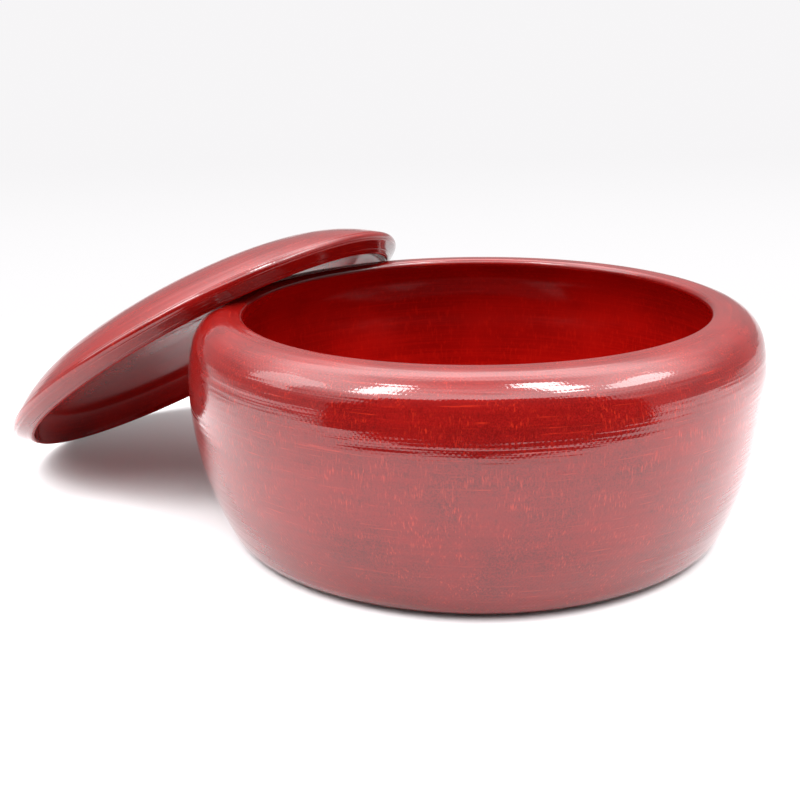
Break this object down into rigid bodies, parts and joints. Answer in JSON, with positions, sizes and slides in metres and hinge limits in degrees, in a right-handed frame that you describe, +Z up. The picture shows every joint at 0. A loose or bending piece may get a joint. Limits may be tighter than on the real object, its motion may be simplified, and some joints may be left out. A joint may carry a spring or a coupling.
{
  "type": "go_stone_bowl",
  "caption": "Lacquered go stone bowl, 150 mm across, with a shallow domed lid leaning on its shoulder",
  "frame": {"origin": "centre of the bowl's flat base, on the table", "axes": "+Z up along the bowl's axis; the lid leans on the side of -X and +Y"},
  "size_m": [0.2093, 0.1925, 0.0739],
  "materials": {
    "turned_wood": "turned, sealed, seen nowhere outside",
    "hemp_cloth": "plain weave, soaked with lacquer",
    "red_lacquer": "clear red over woven cloth, high gloss",
    "dark_lacquer": "deep red, smooth, soft gloss"
  },
  "bodies": {
    "bowl": {"bowl_wood_core": "turned_wood", "bowl_base_cloth": "hemp_cloth", "bowl_belly_cloth": "hemp_cloth", "bowl_shoulder_cloth": "hemp_cloth", "bowl_outer_lacquer": "red_lacquer", "bowl_base_lacquer": "red_lacquer", "bowl_inner_lacquer": "dark_lacquer"},
    "lid": {"lid_wood_core": "turned_wood", "lid_dome_cloth": "hemp_cloth", "lid_edge_cloth": "hemp_cloth", "lid_outer_lacquer": "red_lacquer", "lid_inner_lacquer": "dark_lacquer"}
  },
  "joints": [
    {"name": "lid_lift", "type": "slide", "parent": "bowl", "child": "lid", "axis": [0, 0, 1], "range_m": [0, 0.1]}
  ]
}
